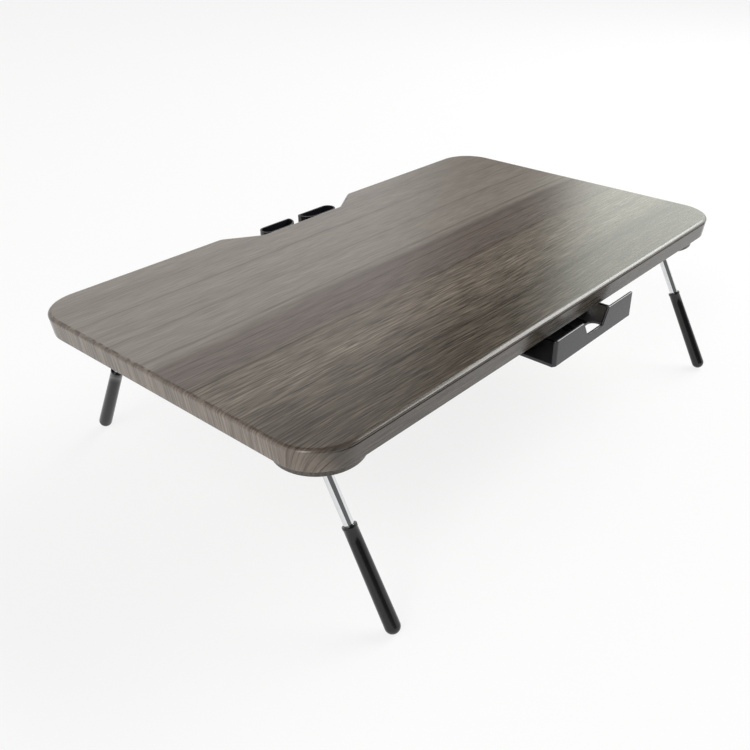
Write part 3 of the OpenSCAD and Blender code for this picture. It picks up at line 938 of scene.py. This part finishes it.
class GeometrySketch(NodeSketch):
    """A geometry tree with named size inputs."""

    def __init__(self, name: str, sizes: dict[str, float]) -> None:
        """Makes the tree and its inputs.

        Args:
            name: the tree's name.
            sizes: the name and default of each size input.
        """
        tree = bpy.data.node_groups.new(name, "GeometryNodeTree")
        super().__init__(tree)
        tree.interface.new_socket(name="Places", in_out="INPUT", socket_type="NodeSocketGeometry")
        self.identifiers = {}
        for label, value in sizes.items():
            socket = tree.interface.new_socket(name=label, in_out="INPUT", socket_type="NodeSocketFloat")
            socket.default_value = value
            self.identifiers[label] = socket.identifier
        tree.interface.new_socket(name="Pieces", in_out="OUTPUT", socket_type="NodeSocketGeometry")
        self.entry = self.add("NodeGroupInput")
        self.exit = self.add("NodeGroupOutput")

    def size(self, label: str) -> Socket:
        """Returns the output of a named size input."""
        return self.entry.outputs[label]

    def cylinder(self, radius: object, depth: object, around: int, rings: int = 1) -> bpy.types.Node:
        """Adds a cylinder primitive.

        Args:
            radius: its radius.
            depth: its height.
            around: how many corners it has.
            rings: how many rings its ends have.

        Returns:
            The cylinder node.
        """
        node = self.add("GeometryNodeMeshCylinder", fill_type="NGON" if rings == 1 else "TRIANGLE_FAN")
        self.feed(node.inputs["Vertices"], around)
        self.feed(node.inputs["Fill Segments"], rings)
        self.feed(node.inputs["Radius"], radius)
        self.feed(node.inputs["Depth"], depth)
        return node

    def moved(self, geometry: Socket, shift: object, turn: object = None) -> Socket:
        """Moves and turns a geometry.

        Args:
            geometry: the geometry.
            shift: how far it is moved.
            turn: how far it is turned, where it is.

        Returns:
            The moved geometry.
        """
        node = self.add("GeometryNodeTransform")
        self.feed(node.inputs["Geometry"], geometry)
        self.feed(node.inputs["Translation"], shift)
        self.feed(node.inputs["Rotation"], turn)
        return node.outputs[0]

    def cut(self, solid: Socket, tools: Sequence[Socket]) -> Socket:
        """Cuts tools out of a solid.

        Args:
            solid: the solid.
            tools: the shapes to take away.

        Returns:
            The cut solid.
        """
        node = self.add("GeometryNodeMeshBoolean", operation="DIFFERENCE")
        self.feed(node.inputs["Mesh 1"], solid)
        for tool in tools:
            self.tree.links.new(tool, node.inputs["Mesh 2"])
        return node.outputs["Mesh"]

    def spread(self, shape: Socket, material: bpy.types.Material, turn: Socket | None = None) -> None:
        """Puts the shape at every place, makes it real and gives it its material.

        Args:
            shape: the shape to repeat.
            material: its material.
            turn: the rotation at each place.
        """
        node = self.add("GeometryNodeInstanceOnPoints")
        self.feed(node.inputs["Points"], self.entry.outputs["Places"])
        self.feed(node.inputs["Instance"], shape)
        self.feed(node.inputs["Rotation"], turn)
        real = self.add("GeometryNodeRealizeInstances")
        self.feed(real.inputs[0], node.outputs[0])
        paint = self.add("GeometryNodeSetMaterial")
        self.feed(paint.inputs["Geometry"], real.outputs[0])
        paint.inputs["Material"].default_value = material
        self.feed(self.exit.inputs[0], paint.outputs[0])


def grow(name: str, places: Sequence[Vector], sketch: GeometrySketch, sizes: dict[str, float],
         material: bpy.types.Material) -> bpy.types.Object:
    """Runs a geometry tree on a set of places and keeps the result as a plain mesh.

    Args:
        name: the piece's name.
        places: where the shape is repeated.
        sketch: the tree.
        sizes: the sizes for this piece.
        material: the piece's material.

    Returns:
        The piece.
    """
    seeds = bpy.data.meshes.new(name + "_places")
    seeds.from_pydata([tuple(p) for p in places], [], [])
    piece = link_mesh(name, seeds, [])
    modifier = piece.modifiers.new("repeat", "NODES")
    modifier.node_group = sketch.tree
    for label, value in sizes.items():
        modifier[sketch.identifiers[label]] = value
    bpy.context.view_layer.update()
    graph = bpy.context.evaluated_depsgraph_get()
    mesh = bpy.data.meshes.new_from_object(
        piece.evaluated_get(graph), preserve_all_data_layers=True, depsgraph=graph)
    piece.modifiers.clear()
    piece.data = mesh
    mesh.name = name
    mesh.materials.clear()
    mesh.materials.append(material)
    for polygon in mesh.polygons:
        polygon.material_index = 0
    return settle(piece, 40.0, weighted=False)


@dataclass
class Screws:
    """Pan-head screws with a cross recess, seen from below."""

    shank: float = 3.5 * MM
    head: float = 7.0 * MM
    head_height: float = 2.0 * MM
    recess: float = 1.0 * MM
    recess_span: float = 4.2 * MM
    recess_depth: float = 1.1 * MM
    doming: float = 0.7
    shank_length: float = 10 * MM
    seed: int = 11

    def tree(self, material: bpy.types.Material) -> GeometrySketch:
        """Builds the tree that repeats the screw.

        Args:
            material: the screws' material.

        Returns:
            The tree.
        """
        sk = GeometrySketch("pan_head_screws", {
            "Shank Diameter": self.shank, "Shank Length": self.shank_length, "Head Diameter": self.head,
            "Head Height": self.head_height, "Recess Width": self.recess, "Recess Span": self.recess_span,
            "Recess Depth": self.recess_depth})
        head_r = sk.times(sk.size("Head Diameter"), 0.5)
        head = sk.cylinder(head_r, sk.size("Head Height"), 32, 6)
        place = sk.add("GeometryNodeInputPosition").outputs[0]
        x, y, z = sk.split(place)
        out = sk.math("DIVIDE", sk.math("SQRT", sk.math("ADD", sk.times(x, x), sk.times(y, y))), head_r)
        rise = sk.times(sk.math("POWER", out, 3.0), sk.times(sk.size("Head Height"), self.doming))
        under = sk.math("LESS_THAN", z, 0.0)
        dome = sk.add("GeometryNodeSetPosition")
        sk.feed(dome.inputs["Geometry"], head.outputs["Mesh"])
        sk.feed(dome.inputs["Offset"], sk.vector(0.0, 0.0, sk.times(rise, under)))
        lowered = sk.moved(dome.outputs[0], sk.vector(0.0, 0.0, sk.times(sk.size("Head Height"), -0.5)))
        bars = []
        for turned in (False, True):
            bar = sk.add("GeometryNodeMeshCube")
            sides = [sk.size("Recess Width"), sk.size("Recess Span")]
            if turned:
                sides.reverse()
            sk.feed(bar.inputs["Size"], sk.vector(*sides, sk.times(sk.size("Recess Depth"), 2.0)))
            lowest = sk.times(sk.size("Head Height"), -1.0)
            bars.append(sk.moved(bar.outputs[0], sk.vector(0.0, 0.0, lowest)))
        recessed = sk.cut(lowered, bars)
        shank = sk.cylinder(sk.times(sk.size("Shank Diameter"), 0.5), sk.size("Shank Length"), 20)
        raised = sk.moved(shank.outputs["Mesh"], sk.vector(0.0, 0.0, sk.times(sk.size("Shank Length"), 0.5)))
        both = sk.add("GeometryNodeJoinGeometry")
        for part in (recessed, raised):
            sk.tree.links.new(part, both.inputs[0])
        spin = sk.add("FunctionNodeRandomValue", data_type="FLOAT")
        turn = next(s for s in spin.inputs if s.name == "Max" and s.type == "VALUE")
        turn.default_value = math.pi / 2
        spin.inputs["Seed"].default_value = self.seed
        angle = next(s for s in spin.outputs if s.type == "VALUE")
        sk.spread(both.outputs[0], material, sk.vector(0.0, 0.0, angle))
        return sk


@dataclass
class Washers:
    """Thin nylon washers that stand upright beside the rods' eyes."""

    outer: float = 10.5 * MM
    bore: float = 5.0 * MM
    thickness: float = 1.1 * MM

    def tree(self, material: bpy.types.Material) -> GeometrySketch:
        """Builds the tree that repeats the washer.

        Args:
            material: the washers' material.

        Returns:
            The tree.
        """
        sk = GeometrySketch("upright_washers", {
            "Outer Diameter": self.outer, "Bore": self.bore, "Thickness": self.thickness})
        disc = sk.cylinder(sk.times(sk.size("Outer Diameter"), 0.5), sk.size("Thickness"), 40)
        bore = sk.cylinder(sk.times(sk.size("Bore"), 0.5), sk.times(sk.size("Thickness"), 3.0), 32)
        ring = sk.cut(disc.outputs["Mesh"], [bore.outputs["Mesh"]])
        upright = sk.moved(ring, None, (0.0, math.pi / 2, 0.0))
        sk.spread(upright, material)
        return sk


# ---- legs and hinges ----


@dataclass
class Leg:
    """One folding leg with its block, bracket and pin.

    The sleeve's mouth is given as points: how far each is outside the rod and below the sleeve's top.
    """

    body: Body
    x: float
    y: float
    turn: float
    pin_height: float = 156.5 * MM
    lean: float = 29.2
    tip_radius: float = 7.2 * MM
    sleeve_length: float = 104 * MM
    sleeve_top: float = 12.8 * MM
    collar_length: float = 3.0 * MM
    collar_out: float = 0.4 * MM
    collar_soft: float = 0.5 * MM
    collar_chamfer: float = 0.12 * MM
    mouth: tuple[tuple[float, float], ...] = ((-0.3 * MM, 1.2 * MM), (0.1 * MM, 0.25 * MM), (0.6 * MM, 0.0))
    collar_steps: int = 4
    side_steps: int = 8
    tip_steps: int = 15
    rod: float = 9.5 * MM

    @property
    def place(self) -> str:
        """Returns the leg's place as the CAD nodes name it."""
        return self.body.value.removeprefix("leg_")

    @property
    def reach(self) -> float:
        """Returns the distance from the hinge pin to the middle of the tip."""
        return (self.pin_height - self.tip_radius) / math.cos(math.radians(self.lean))

    def frame(self) -> Matrix:
        """Returns the matrix from the leg's own frame, with -Z along the leg, to the row frame."""
        return (Matrix.Translation((self.x, self.y, 0.0)) @ Matrix.Rotation(math.radians(self.turn), 4, "Z")
                @ Matrix.Translation((0.0, 0.0, self.pin_height))
                @ Matrix.Rotation(math.radians(-self.lean), 4, "X"))

    def sleeve_profile(self) -> list[tuple[float, float]]:
        """Lists the sleeve's outline from the bore down.

        Returns:
            The radius and the distance below the pin of each point.
        """
        tip = self.reach
        top = tip + self.tip_radius - self.sleeve_length
        r_top, r_tip = self.sleeve_top / 2, self.tip_radius
        collar = r_top + self.collar_out
        soft = self.collar_soft
        chamfer = self.collar_chamfer

        def side(at: float) -> float:
            """Gives the tapered side's radius at a distance below the pin."""
            return r_top + (r_tip - r_top) * (at - top) / (tip - top)

        points = [(self.rod / 2 + out, top + down) for out, down in self.mouth]
        for k in range(self.collar_steps + 1):
            angle = math.pi / 2 * k / self.collar_steps
            points.append((collar - soft + soft * math.sin(angle), top + soft * (1 - math.cos(angle))))
        below = top + self.collar_length
        points += [(collar, below - soft), (collar - chamfer, below - chamfer),
                   (side(below) + 0.02 * MM, below + 0.15 * MM)]
        for k in range(1, self.side_steps + 1):
            at = below + (tip - below) * k / self.side_steps
            points.append((side(at), at))
        for k in range(1, self.tip_steps):
            angle = math.pi / 2 * k / self.tip_steps
            points.append((r_tip * math.cos(angle), tip + r_tip * math.sin(angle)))
        points.append((0.0, tip + r_tip))
        return points

    def revolve(self, name: str, profile: list[tuple[float, float]], around: int = 56) -> bpy.types.Mesh:
        """Turns a profile round the leg's axis.

        Args:
            name: the mesh's name.
            profile: radius and distance below the pin of each ring; the last may be a pole.
            around: how many sides it has.

        Returns:
            The mesh in the row frame.
        """
        work = bmesh.new()
        frame = self.frame()
        turns = [2 * math.pi * i / around for i in range(around)]
        rings = []
        for radius, depth in profile:
            if radius < 1e-7:
                rings.append([work.verts.new(frame @ Vector((0.0, 0.0, -depth)))])
                continue
            ring = [Vector((radius * math.cos(turn), radius * math.sin(turn), -depth)) for turn in turns]
            rings.append([work.verts.new(frame @ point) for point in ring])
        for upper, lower in zip(rings, rings[1:]):
            for i in range(around):
                j = (i + 1) % around
                if len(lower) == 1:
                    work.faces.new((upper[i], lower[0], upper[j]))
                else:
                    work.faces.new((upper[i], lower[i], lower[j], upper[j]))
        if len(rings[0]) > 1:
            work.faces.new(list(reversed(rings[0])))
        bmesh.ops.recalc_face_normals(work, faces=work.faces)
        mesh = bpy.data.meshes.new(name)
        work.to_mesh(mesh)
        work.free()
        return mesh

    def build(self, nodes: dict[str, bpy.types.Object], finishes: Finishes) -> None:
        """Args:
            nodes: the CAD nodes by name.
            finishes: the built materials.
        """
        place = self.place
        sleeve_mesh = self.revolve("sleeve", self.sleeve_profile())
        sleeve = link_mesh("sleeve_" + place, sleeve_mesh, [finishes.sleeve])
        settle(sleeve, 50.0, weighted=False)
        seat(sleeve, self.body, Slot.SLEEVE, "leg_sleeve_" + place)
        for node, name, width, material, segments, sharp, body, slot in (
                ("leg_rod_", "rod_", 0.3 * MM, finishes.chrome, 2, 30.0, self.body, Slot.ROD),
                ("leg_mount_", "block_", 1.0 * MM, finishes.block, 3, 40.0, Body.STAND, Slot.MOUNT),
                ("hinge_bracket_", "bracket_", 0.35 * MM, finishes.sheet, 2, 40.0, Body.STAND, Slot.SHEET),
                ("hinge_pin_", "pin_", 0.3 * MM, finishes.screw, 2, 40.0, Body.STAND, Slot.FASTENER)):
            piece = softened(nodes[node + place], name + place, width, material, segments, sharp)
            seat(piece, body, slot, node + place)


@dataclass
class LegSet:
    """The four legs and the hardware that they share."""

    front_x: float = 298 * MM
    back_x: float = 276 * MM
    middle_x: float = -3.5 * MM
    hinge_y: float = 146 * MM
    plate_bottom: float = 150.5 * MM
    screw_x: float = 15.825 * MM
    screw_y: float = 14 * MM
    plate_shift: float = 3 * MM
    screw_length: float = 12 * MM
    washer_x: float = 4.6 * MM

    def legs(self) -> list[Leg]:
        """Lists the four legs.

        Returns:
            The legs, the front ones first.
        """
        return [
            Leg(Body.FRONT_LEFT, self.middle_x - self.front_x, -self.hinge_y, 0.0),
            Leg(Body.FRONT_RIGHT, self.middle_x + self.front_x, -self.hinge_y, 0.0),
            Leg(Body.BACK_LEFT, self.middle_x - self.back_x, self.hinge_y, 180.0),
            Leg(Body.BACK_RIGHT, self.middle_x + self.back_x, self.hinge_y, 180.0)]

    def screw_places(self) -> list[Vector]:
        """Lists where the bracket screws' heads seat.

        Returns:
            The places, four for each leg.
        """
        places = []
        for leg in self.legs():
            sign = 1.0 if leg.turn == 0.0 else -1.0
            for sx in (-1, 1):
                for sy in (-1, 1):
                    along = leg.y + sign * (self.plate_shift + sy * self.screw_y)
                    places.append(Vector((leg.x + sign * sx * self.screw_x, along, self.plate_bottom)))
        return places

    def washer_places(self) -> list[Vector]:
        """Lists the middles of the washers.

        Returns:
            The places, two for each leg.
        """
        return [Vector((leg.x + side * self.washer_x, leg.y, leg.pin_height))
                for leg in self.legs() for side in (-1, 1)]

    def build(self, nodes: dict[str, bpy.types.Object], finishes: Finishes, screws: GeometrySketch) -> None:
        """Builds every leg and the shared hardware and attaches them to their bodies.

        Args:
            nodes: the CAD nodes by name.
            finishes: the built materials.
            screws: the tree that repeats a screw.
        """
        for leg in self.legs():
            leg.build(nodes, finishes)
        piece = grow("bracket_screws_set", self.screw_places(), screws, {"Shank Length": self.screw_length},
                     finishes.screw)
        seat(piece, Body.STAND, Slot.FASTENER, "bracket_screws")
        ring = Washers().tree(finishes.nylon)
        washers = grow("hinge_washers_set", self.washer_places(), ring, {}, finishes.nylon)
        seat(washers, Body.STAND, Slot.NYLON, "hinge_washers")


# ---- tray and rails ----


@dataclass
class Tray:
    """The pull-out tray, its two rails and their screws."""

    x: float = 31.5 * MM
    panel_back: float = -210.5 * MM
    panel_round: float = 1.1 * MM
    rail_screw_x: float = 90.3 * MM
    rail_front: float = -165 * MM
    rail_length: float = 173 * MM
    screw_inset: float = 14 * MM
    screws_each: int = 3
    web_bottom: float = 163.5 * MM
    screw_length: float = 12.5 * MM

    def screw_places(self) -> list[Vector]:
        """Lists where the rail screws' heads seat.

        Returns:
            The places, as many on each rail.
        """
        first = self.rail_front + self.screw_inset
        step = (self.rail_length - 2 * self.screw_inset) / (self.screws_each - 1)
        return [Vector((self.x + side * self.rail_screw_x, first + k * step, self.web_bottom))
                for side in (-1, 1) for k in range(self.screws_each)]

    def build(self, nodes: dict[str, bpy.types.Object], finishes: Finishes, screws: GeometrySketch) -> None:
        """Args:
            nodes: the CAD nodes by name.
            finishes: the built materials.
            screws: the tree that repeats a screw.
        """
        tray = softened(nodes["drawer_tray"], "tray", 0.5 * MM, finishes.black, 3, 30.0,
                        (self.panel_back, self.panel_round))
        seat(tray, Body.DRAWER, Slot.BLACK, "drawer_tray")
        for side in ("left", "right"):
            rail = softened(nodes["rail_" + side], "runner_" + side, 0.3 * MM, finishes.sheet, 2, 40.0)
            seat(rail, Body.STAND, Slot.SHEET, "rail_" + side)
        piece = grow("rail_screws_set", self.screw_places(), screws, {"Shank Length": self.screw_length},
                     finishes.screw)
        seat(piece, Body.STAND, Slot.FASTENER, "rail_screws")


@dataclass
class RearPocket:
    """The twin pocket in the back notch and its screws."""

    left: float = -62.5 * MM
    screw_steps: tuple[float, ...] = (26 * MM, 59.5 * MM, 92.5 * MM)
    screw_y: float = 158.5 * MM
    tab_bottom: float = 162 * MM
    screw_length: float = 14 * MM

    def build(self, nodes: dict[str, bpy.types.Object], finishes: Finishes, screws: GeometrySketch) -> None:
        """Args:
            nodes: the CAD nodes by name.
            finishes: the built materials.
            screws: the tree that repeats a screw.
        """
        pocket = softened(nodes["rear_pocket"], "twin_pocket", 0.45 * MM, finishes.black, 3, 30.0)
        seat(pocket, Body.STAND, Slot.BLACK, "rear_pocket")
        places = [Vector((self.left + step, self.screw_y, self.tab_bottom)) for step in self.screw_steps]
        piece = grow("pocket_screws_set", places, screws, {"Shank Length": self.screw_length}, finishes.screw)
        seat(piece, Body.STAND, Slot.FASTENER, "pocket_screws")


# ---- studio ----


@dataclass(frozen=True)
class SoftLamp:
    """A soft lamp that looks at the table from a given side."""

    name: str
    turn: float
    rise: float
    away: float
    size: tuple[float, float]
    power: float

    def build(self) -> None:
        """Builds the lamp, which the camera itself doesn't see."""
        data = bpy.data.lights.new(self.name, "AREA")
        data.shape = "RECTANGLE"
        data.size, data.size_y = self.size
        data.energy = self.power
        lamp = bpy.data.objects.new(self.name, data)
        lamp.visible_camera = False
        bpy.context.scene.collection.objects.link(lamp)
        turn, rise = math.radians(self.turn), math.radians(self.rise)
        aim = Vector((math.cos(rise) * math.cos(turn), math.cos(rise) * math.sin(turn), math.sin(rise)))
        facing = aim.to_track_quat("Z", "Y").to_matrix().to_4x4()
        lamp.matrix_world = Matrix.Translation(aim * self.away) @ facing


LEFT_PANEL = grey(1.30)
FRONT_SHADE = grey(0.15)
SIDE_PANEL = (2.25, 2.36, 2.18)
DARK_GAP = grey(0.02)
BACK_PANEL = grey(0.72)


@dataclass
class Studio:
    """Plain pale floor, soft surroundings and the camera.

    The ring gives the light of the surroundings at angles in degrees from +X, and the wall tells
    at which angles a reflection finds the white backdrop, below the wall's top.
    """

    floor_half: float = 12.0
    floor_tone: Colour = (0.86, 0.86, 0.86)
    floor_white: float = 0.80
    camera_place: tuple[float, float, float] = (-0.70328, -0.58468, 0.56799)
    camera_turn: float = -49.27
    camera_pitch: float = 30.42
    focal_pixels: float = 882.84
    centre_x: float = 400.74
    picture: float = 750.0
    film_width: float = 36.0
    ring: tuple[tuple[float, Colour], ...] = (
        (-180.0, LEFT_PANEL), (-162.0, LEFT_PANEL), (-150.0, FRONT_SHADE), (-36.0, FRONT_SHADE),
        (-30.0, SIDE_PANEL), (27.8, SIDE_PANEL), (30.8, DARK_GAP), (36.5, DARK_GAP),
        (42.0, BACK_PANEL), (110.0, BACK_PANEL), (150.0, LEFT_PANEL), (180.0, LEFT_PANEL))
    wall: tuple[tuple[float, Colour], ...] = (
        (-165.0, grey(1.0)), (-152.0, grey(0.0)), (-84.0, grey(0.0)), (-70.0, grey(1.0)))
    wall_top: tuple[float, float] = (0.15, 0.19)
    overhead: Colour = grey(0.12)
    overhead_from: tuple[float, float] = (0.66, 0.80)
    lamps: tuple[SoftLamp, ...] = (
        SoftLamp("side_softbox", -17.0, 40.0, 3.0, (2.9, 1.2), 62.0),
        SoftLamp("left_softbox", -164.0, 38.0, 3.0, (0.7, 2.4), 26.0))

    def seen(self, sk: NodeSketch, mirrored: object = 1.0) -> Socket:
        """Tells whether a ray sees the plain background: the camera's, a reflection's or one through glass.

        Args:
            sk: the tree's sketch.
            mirrored: how much of the background stands where a reflection looks.

        Returns:
            The share of the background that the ray sees.
        """
        path = sk.add("ShaderNodeLightPath").outputs
        straight = sk.math("MAXIMUM", path["Is Camera Ray"], path["Is Transmission Ray"])
        return sk.math("MAXIMUM", straight, sk.times(path["Is Glossy Ray"], mirrored))

    def floor(self) -> None:
        """Builds the floor, which shows near white and keeps the soft shadows."""
        work = bmesh.new()
        half = self.floor_half
        signs = ((-1, -1), (1, -1), (1, 1), (-1, 1))
        work.faces.new([work.verts.new((sx * half, sy * half, 0.0)) for sx, sy in signs])
        mesh = bpy.data.meshes.new("studio_floor")
        work.to_mesh(mesh)
        work.free()
        material = bpy.data.materials.new("studio_floor")
        material.use_nodes = True
        sk = NodeSketch(material.node_tree)
        material.node_tree.nodes.clear()
        dull = sk.add("ShaderNodeBsdfDiffuse")
        dull.inputs["Color"].default_value = (*self.floor_tone, 1.0)
        glow = sk.add("ShaderNodeEmission")
        glow.inputs["Color"].default_value = (1.0, 1.0, 1.0, 1.0)
        blend = sk.add("ShaderNodeMixShader")
        sk.feed(blend.inputs[0], sk.times(self.seen(sk), self.floor_white))
        sk.feed(blend.inputs[1], dull.outputs[0])
        sk.feed(blend.inputs[2], glow.outputs[0])
        out = sk.add("ShaderNodeOutputMaterial")
        sk.feed(out.inputs["Surface"], blend.outputs[0])
        link_mesh("studio_floor", mesh, [material])

    def around(self, sk: NodeSketch, place: Socket, lights: Sequence[tuple[float, Colour]],
               scale: float) -> Socket:
        """Reads lights that are given round the table.

        Args:
            sk: the tree's sketch.
            place: the direction's place in the turn, from 0 at -180 degrees to 1 at 180 degrees.
            lights: the angle from +X and the light's colour, in order.
            scale: what the colours are divided by.

        Returns:
            The light, divided by the scale.
        """
        stops = [((angle + 180.0) / 360.0, tuple(part / scale for part in light)) for angle, light in lights]
        return sk.ramp(place, stops, smooth=False)

    def surroundings(self) -> None:
        """Builds the surroundings: a white backdrop behind the table, and soft panels above it."""
        world = bpy.data.worlds.new("studio")
        bpy.context.scene.world = world
        world.use_nodes = True
        world.node_tree.nodes.clear()
        sk = NodeSketch(world.node_tree)
        x, y, z = sk.split(sk.add("ShaderNodeTexCoord").outputs["Generated"])
        degrees = sk.times(sk.math("ARCTAN2", y, x), 180 / math.pi)
        place = sk.math("DIVIDE", sk.math("ADD", degrees, 180.0), 360.0)
        brightest = max(max(light) for _, light in self.ring)
        low = self.around(sk, place, self.ring, brightest)
        above = tuple(part / brightest for part in self.overhead)
        back = sk.add("ShaderNodeBackground")
        sk.feed(back.inputs["Color"], sk.mix(sk.span(z, *self.overhead_from), low, above))
        back.inputs["Strength"].default_value = brightest
        plain = sk.add("ShaderNodeBackground")
        plain.inputs["Color"].default_value = (1.0, 1.0, 1.0, 1.0)
        standing = sk.times(sk.span(z, *self.wall_top, 1.0, 0.0), self.around(sk, place, self.wall, 1.0))
        blend = sk.add("ShaderNodeMixShader")
        sk.feed(blend.inputs[0], self.seen(sk, standing))
        sk.feed(blend.inputs[1], back.outputs[0])
        sk.feed(blend.inputs[2], plain.outputs[0])
        out = sk.add("ShaderNodeOutputWorld")
        sk.feed(out.inputs["Surface"], blend.outputs[0])

    def camera(self) -> None:
        """Builds the camera, at the photo's angle."""
        data = bpy.data.cameras.new("camera")
        data.sensor_width = self.film_width
        data.sensor_fit = "HORIZONTAL"
        data.lens = self.focal_pixels / self.picture * self.film_width
        data.shift_x = (self.picture / 2 - self.centre_x) / self.picture
        data.clip_start, data.clip_end = 0.01, 60.0
        camera = bpy.data.objects.new("camera", data)
        bpy.context.scene.collection.objects.link(camera)
        camera.matrix_world = (
            Matrix.Translation(self.camera_place) @ Matrix.Rotation(math.radians(self.camera_turn), 4, "Z")
            @ Matrix.Rotation(math.radians(90 - self.camera_pitch), 4, "X"))
        bpy.context.scene.camera = camera

    def build(self) -> None:
        """Builds the whole studio."""
        self.floor()
        self.surroundings()
        for lamp in self.lamps:
            lamp.build()
        self.camera()
        bpy.context.scene.view_settings.view_transform = "Standard"
        LOG.info("studio is set")


def main() -> None:
    """Builds the looks of the lap table in order."""
    logging.basicConfig(level=logging.INFO, format="%(name)s: %(message)s")
    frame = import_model()
    nodes = frame["nodes"]
    finishes = Finishes()
    Studio().build()
    Board().build(finishes)
    screws = Screws().tree(finishes.screw)
    LegSet().build(nodes, finishes, screws)
    Tray().build(nodes, finishes, screws)
    RearPocket().build(nodes, finishes, screws)


if __name__ == "__main__":
    main()
